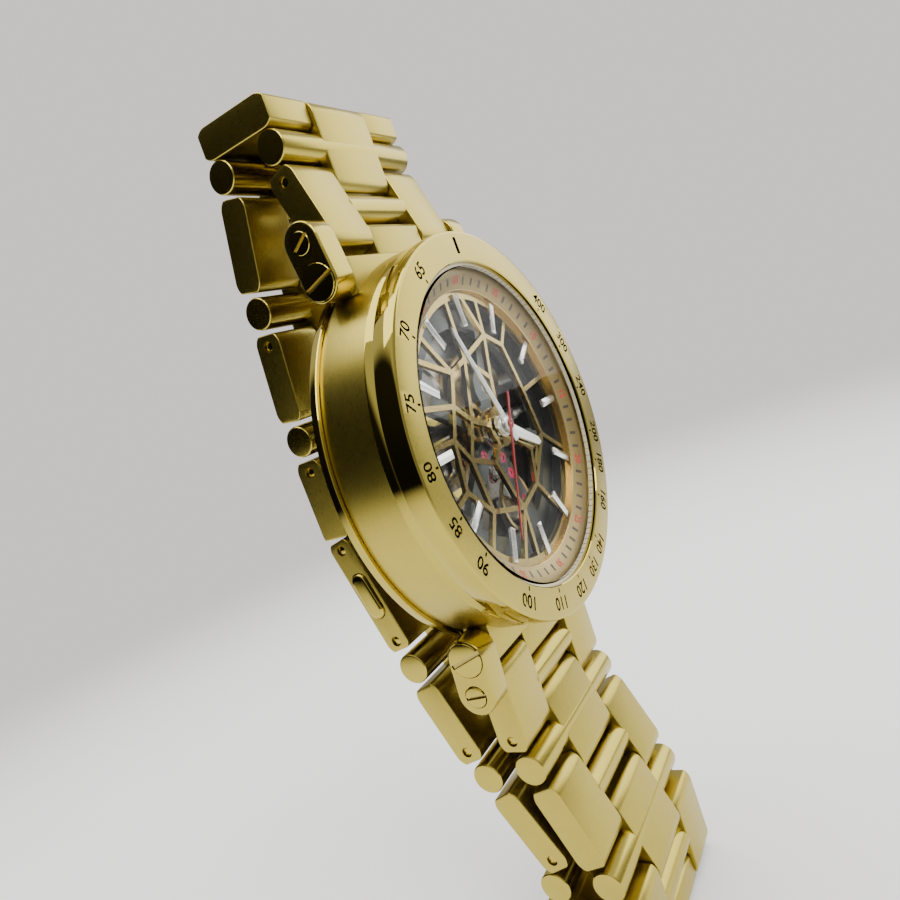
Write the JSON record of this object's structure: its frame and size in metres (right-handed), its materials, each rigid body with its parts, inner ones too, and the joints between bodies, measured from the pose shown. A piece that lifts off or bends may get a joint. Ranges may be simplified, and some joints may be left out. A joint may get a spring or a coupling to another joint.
{
  "type": "skeleton wristwatch",
  "caption": "Round wristwatch with an openworked dial, visible gear train, engraved scale bezel and a broad link bracelet closed on a folding clasp.",
  "frame": {"origin": "centre of the case back's flat outer face", "axes": "+X towards 3 o'clock, +Z towards 12 o'clock, +Y out of the case back towards the wrist, so the dial faces -Y"},
  "size_m": [0.0497, 0.0233, 0.1054],
  "materials": {
    "gold_steel": "gold-coloured plating, brushed flats and polished edges",
    "dial_gold": "satin beige gold",
    "sapphire": "clear, polished",
    "gasket": "matt",
    "rose_gold": "rose-gold plated, satin",
    "polished_steel": "polished",
    "red_lacquer": "gloss",
    "dark_plate": "dark grey plating",
    "steel_bridge": "straight-grained nickel",
    "ruby": "polished",
    "brass": "gilt, brushed"
  },
  "bodies": {
    "case": {"case_middle": "gold_steel", "bezel": "gold_steel", "crystal": "sapphire", "gaskets": "gasket", "minute_flange": "dial_gold", "case_back": "gold_steel", "case_back_window": "sapphire", "lug_bars": "gold_steel", "lug_screws": "gold_steel", "skeleton_dial": "rose_gold", "hour_indices": "polished_steel", "movement_ring": "dark_plate", "main_plate": "dark_plate", "jewels": "ruby", "barrel_bridge": "steel_bridge", "train_bridge": "steel_bridge", "balance_cock": "steel_bridge", "case_screws": "steel_bridge"},
    "fourth": {"fourth_wheel": "brass", "seconds_hand": "red_lacquer"},
    "third": {"third_wheel": "brass"},
    "center": {"center_wheel": "brass"},
    "barrel": {"barrel": "brass"},
    "escape": {"escape_wheel": "brass"},
    "minute": {"minute_hand": "polished_steel"},
    "minute_wheel": {"minute_wheel": "brass"},
    "hour": {"hour_hand": "polished_steel"},
    "ratchet": {"ratchet_wheel": "steel_bridge"},
    "pallet": {"pallet_fork": "steel_bridge"},
    "balance": {"balance_wheel": "brass", "hairspring": "steel_bridge"},
    "rotor": {"rotor": "steel_bridge"},
    "stem": {"winding_stem": "steel_bridge"},
    "crown": {"crown": "gold_steel"},
    "upper_link_1": {"upper_link_1": "gold_steel"},
    "upper_link_2": {"upper_link_2": "gold_steel"},
    "upper_link_3": {"upper_link_3": "gold_steel"},
    "upper_link_4": {"upper_link_4": "gold_steel"},
    "upper_link_5": {"upper_link_5": "gold_steel"},
    "upper_link_6": {"upper_link_6": "gold_steel"},
    "upper_link_7": {"upper_link_7": "gold_steel"},
    "upper_link_8": {"upper_link_8": "gold_steel"},
    "upper_link_9": {"upper_link_9": "gold_steel"},
    "lower_link_1": {"lower_link_1": "gold_steel"},
    "lower_link_2": {"lower_link_2": "gold_steel"},
    "lower_link_3": {"lower_link_3": "gold_steel"},
    "lower_link_4": {"lower_link_4": "gold_steel"},
    "lower_link_5": {"lower_link_5": "gold_steel"},
    "lower_link_6": {"lower_link_6": "gold_steel"},
    "lower_link_7": {"lower_link_7": "gold_steel"},
    "lower_link_8": {"lower_link_8": "gold_steel"},
    "lower_link_9": {"lower_link_9": "gold_steel"},
    "lower_link_10": {"lower_link_10": "gold_steel"},
    "lower_link_11": {"lower_link_11": "gold_steel"},
    "lower_link_12": {"lower_link_12": "gold_steel"},
    "clasp_cover": {"clasp_cover": "gold_steel"},
    "clasp_blade_outer": {"clasp_blade_outer": "gold_steel"},
    "clasp_blade_inner": {"clasp_blade_inner": "gold_steel"},
    "clasp_button_left": {"clasp_button_left": "gold_steel"},
    "clasp_button_right": {"clasp_button_right": "gold_steel"}
  },
  "joints": [
    {"name": "upper_hinge_1", "type": "hinge", "parent": "case", "child": "upper_link_1", "pos_m": [0, -0.0028, 0.0249], "axis": [1, 0, 0], "range_deg": [0, 14.55]},
    {"name": "upper_hinge_2", "type": "hinge", "parent": "upper_link_1", "child": "upper_link_2", "pos_m": [0, -0.00092, 0.03216], "axis": [1, 0, 0], "range_deg": [-15.55, 0]},
    {"name": "upper_hinge_3", "type": "hinge", "parent": "upper_link_2", "child": "upper_link_3", "pos_m": [0, -0.00105, 0.03966], "axis": [1, 0, 0], "range_deg": [0, 89]},
    {"name": "upper_hinge_4", "type": "hinge", "parent": "upper_link_3", "child": "upper_link_4", "pos_m": [0, 0.00644, 0.03992], "axis": [1, 0, 0], "range_deg": [0, 89.05]},
    {"name": "upper_hinge_5", "type": "hinge", "parent": "upper_link_4", "child": "upper_link_5", "pos_m": [0, 0.00683, 0.03243], "axis": [1, 0, 0], "range_deg": [-11.05, 0]},
    {"name": "upper_hinge_6", "type": "hinge", "parent": "upper_link_5", "child": "upper_link_6", "pos_m": [0, 0.00865, 0.02516], "axis": [1, 0, 0], "range_deg": [0, 9.05]},
    {"name": "upper_hinge_7", "type": "hinge", "parent": "upper_link_6", "child": "upper_link_7", "pos_m": [0, 0.0093, 0.01768], "axis": [1, 0, 0], "range_deg": [-2.05, 0]},
    {"name": "upper_hinge_8", "type": "hinge", "parent": "upper_link_7", "child": "upper_link_8", "pos_m": [0, 0.01022, 0.01024], "axis": [1, 0, 0], "range_deg": [0, 5.05]},
    {"name": "upper_hinge_9", "type": "hinge", "parent": "upper_link_8", "child": "upper_link_9", "pos_m": [0, 0.01048, 0.00274], "axis": [1, 0, 0], "range_deg": [0, 2.05]},
    {"name": "lower_hinge_1", "type": "hinge", "parent": "case", "child": "lower_link_1", "pos_m": [0, -0.0028, -0.0249], "axis": [1, 0, 0], "range_deg": [-2.05, 0]},
    {"name": "lower_hinge_2", "type": "hinge", "parent": "lower_link_1", "child": "lower_link_2", "pos_m": [0, -0.00254, -0.0324], "axis": [1, 0, 0], "range_deg": [0, 15.05]},
    {"name": "lower_hinge_3", "type": "hinge", "parent": "lower_link_2", "child": "lower_link_3", "pos_m": [0, -0.00422, -0.0397], "axis": [1, 0, 0], "range_deg": [0, 4.05]},
    {"name": "lower_hinge_4", "type": "hinge", "parent": "lower_link_3", "child": "lower_link_4", "pos_m": [0, -0.00642, -0.04688], "axis": [1, 0, 0], "range_deg": [-0.55, 0]},
    {"name": "lower_hinge_5", "type": "hinge", "parent": "lower_link_4", "child": "lower_link_5", "pos_m": [0, -0.00855, -0.05407], "axis": [1, 0, 0], "range_deg": [-18.35, 0]},
    {"name": "lower_hinge_6", "type": "hinge", "parent": "lower_link_5", "child": "lower_link_6", "pos_m": [0, -0.00831, -0.06156], "axis": [1, 0, 0], "range_deg": [-85.36, 0]},
    {"name": "lower_hinge_7", "type": "hinge", "parent": "lower_link_6", "child": "lower_link_7", "pos_m": [0, -0.00082, -0.06193], "axis": [1, 0, 0], "range_deg": [-85.41, 0]},
    {"name": "lower_hinge_8", "type": "hinge", "parent": "lower_link_7", "child": "lower_link_8", "pos_m": [0, 0.00015, -0.0545], "axis": [1, 0, 0], "range_deg": [-22.53, 0]},
    {"name": "lower_hinge_9", "type": "hinge", "parent": "lower_link_8", "child": "lower_link_9", "pos_m": [0, -0.00179, -0.04725], "axis": [1, 0, 0], "range_deg": [0, 38.05]},
    {"name": "lower_hinge_10", "type": "hinge", "parent": "lower_link_9", "child": "lower_link_10", "pos_m": [0, 0.00114, -0.04035], "axis": [1, 0, 0], "range_deg": [-1.05, 0]},
    {"name": "lower_hinge_11", "type": "hinge", "parent": "lower_link_10", "child": "lower_link_11", "pos_m": [0, 0.00395, -0.0334], "axis": [1, 0, 0], "range_deg": [-5.05, 0]},
    {"name": "lower_hinge_12", "type": "hinge", "parent": "lower_link_11", "child": "lower_link_12", "pos_m": [0, 0.00615, -0.02622], "axis": [1, 0, 0], "range_deg": [-5.05, 0]},
    {"name": "clasp_hinge", "type": "hinge", "parent": "lower_link_12", "child": "clasp_cover", "pos_m": [0, 0.00771, -0.01889], "axis": [1, 0, 0], "range_deg": [0, 1.05]},
    {"name": "outer_blade_hinge", "type": "hinge", "parent": "clasp_cover", "child": "clasp_blade_outer", "pos_m": [0, 0.01045, -0.007], "axis": [1, 0, 0], "range_deg": [-165.17, 0]},
    {"name": "inner_blade_hinge", "type": "hinge", "parent": "clasp_blade_outer", "child": "clasp_blade_inner", "pos_m": [0, 0.00581, -0.01578], "axis": [1, 0, 0], "range_deg": [0, 175.15]},
    {"name": "button_left_push", "type": "slide", "parent": "clasp_cover", "child": "clasp_button_left", "axis": [1, 0, 0], "range_m": [0, 0.0005], "stiffness_N_per_m": 600, "springref_m": -0.0005},
    {"name": "button_right_push", "type": "slide", "parent": "clasp_cover", "child": "clasp_button_right", "axis": [-1, 0, 0], "range_m": [0, 0.0005], "stiffness_N_per_m": 600, "springref_m": -0.0005},
    {"name": "fourth_turn", "type": "hinge", "parent": "case", "child": "fourth", "pos_m": [0, -0.0028, 0], "axis": [0, -1, 0], "continuous": true},
    {"name": "third_turn", "type": "hinge", "parent": "case", "child": "third", "pos_m": [-0.00293, -0.0031, -0.00246], "axis": [0, -1, 0], "continuous": true},
    {"name": "center_turn", "type": "hinge", "parent": "case", "child": "center", "pos_m": [0, -0.0041, 0], "axis": [0, -1, 0], "continuous": true},
    {"name": "barrel_turn", "type": "hinge", "parent": "case", "child": "barrel", "pos_m": [0.00273, -0.0035, 0.00473], "axis": [0, -1, 0], "continuous": true},
    {"name": "escape_turn", "type": "hinge", "parent": "case", "child": "escape", "pos_m": [0.00099, -0.0035, -0.0037], "axis": [0, -1, 0], "continuous": true},
    {"name": "minute_turn", "type": "hinge", "parent": "case", "child": "minute", "pos_m": [0, -0.008, 0], "axis": [0, -1, 0], "continuous": true},
    {"name": "minute_wheel_turn", "type": "hinge", "parent": "case", "child": "minute_wheel", "pos_m": [-0.0026, -0.0056, 0.0015], "axis": [0, -1, 0], "continuous": true},
    {"name": "hour_turn", "type": "hinge", "parent": "case", "child": "hour", "pos_m": [0, -0.0074, 0], "axis": [0, -1, 0], "continuous": true},
    {"name": "ratchet_turn", "type": "hinge", "parent": "case", "child": "ratchet", "pos_m": [0.00273, -0.0019, 0.00473], "axis": [0, -1, 0], "continuous": true},
    {"name": "pallet_rock", "type": "hinge", "parent": "case", "child": "pallet", "pos_m": [0.00156, -0.0035, -0.00583], "axis": [0, -1, 0], "range_deg": [-5, 5]},
    {"name": "balance_swing", "type": "hinge", "parent": "case", "child": "balance", "pos_m": [0.00258, -0.004, -0.00961], "axis": [0, -1, 0], "range_deg": [-135, 135]},
    {"name": "rotor_turn", "type": "hinge", "parent": "case", "child": "rotor", "pos_m": [0, -0.0015, 0], "axis": [0, -1, 0], "continuous": true},
    {"name": "crown_pull", "type": "slide", "parent": "case", "child": "stem", "axis": [1, 0, 0], "range_m": [0, 0.0012]},
    {"name": "crown_turn", "type": "hinge", "parent": "stem", "child": "crown", "pos_m": [0.025, -0.0036, 0], "axis": [1, 0, 0], "continuous": true}
  ],
  "couplings": [
    {"joint": "upper_hinge_1", "follows": "upper_hinge_3", "ratio": 0.16292},
    {"joint": "upper_hinge_2", "follows": "upper_hinge_3", "ratio": -0.17416},
    {"joint": "upper_hinge_4", "follows": "upper_hinge_3", "ratio": 1},
    {"joint": "upper_hinge_5", "follows": "upper_hinge_3", "ratio": -0.1236},
    {"joint": "upper_hinge_6", "follows": "upper_hinge_3", "ratio": 0.10112},
    {"joint": "upper_hinge_7", "follows": "upper_hinge_3", "ratio": -0.022472},
    {"joint": "upper_hinge_8", "follows": "upper_hinge_3", "ratio": 0.05618},
    {"joint": "upper_hinge_9", "follows": "upper_hinge_3", "ratio": 0.022472},
    {"joint": "lower_hinge_1", "follows": "lower_hinge_6", "ratio": 0.02343},
    {"joint": "lower_hinge_2", "follows": "lower_hinge_6", "ratio": -0.17573},
    {"joint": "lower_hinge_3", "follows": "lower_hinge_6", "ratio": -0.046861},
    {"joint": "lower_hinge_4", "follows": "lower_hinge_6", "ratio": 0.005858},
    {"joint": "lower_hinge_5", "follows": "lower_hinge_6", "ratio": 0.21443},
    {"joint": "lower_hinge_7", "follows": "lower_hinge_6", "ratio": 1},
    {"joint": "lower_hinge_8", "follows": "lower_hinge_6", "ratio": 0.26332},
    {"joint": "lower_hinge_9", "follows": "lower_hinge_6", "ratio": -0.44518},
    {"joint": "lower_hinge_10", "follows": "lower_hinge_6", "ratio": 0.011715},
    {"joint": "lower_hinge_11", "follows": "lower_hinge_6", "ratio": 0.058576},
    {"joint": "lower_hinge_12", "follows": "lower_hinge_6", "ratio": 0.058576},
    {"joint": "clasp_hinge", "follows": "lower_hinge_6", "ratio": -0.011715},
    {"joint": "outer_blade_hinge", "follows": "lower_hinge_6", "ratio": 1.9345},
    {"joint": "inner_blade_hinge", "follows": "lower_hinge_6", "ratio": -2.0513},
    {"joint": "third_turn", "follows": "fourth_turn", "ratio": -0.13333},
    {"joint": "center_turn", "follows": "fourth_turn", "ratio": 0.016667},
    {"joint": "barrel_turn", "follows": "fourth_turn", "ratio": -0.0027778},
    {"joint": "escape_turn", "follows": "fourth_turn", "ratio": -10},
    {"joint": "minute_wheel_turn", "follows": "minute_turn", "ratio": -0.33333},
    {"joint": "hour_turn", "follows": "minute_turn", "ratio": 0.083333}
  ]
}
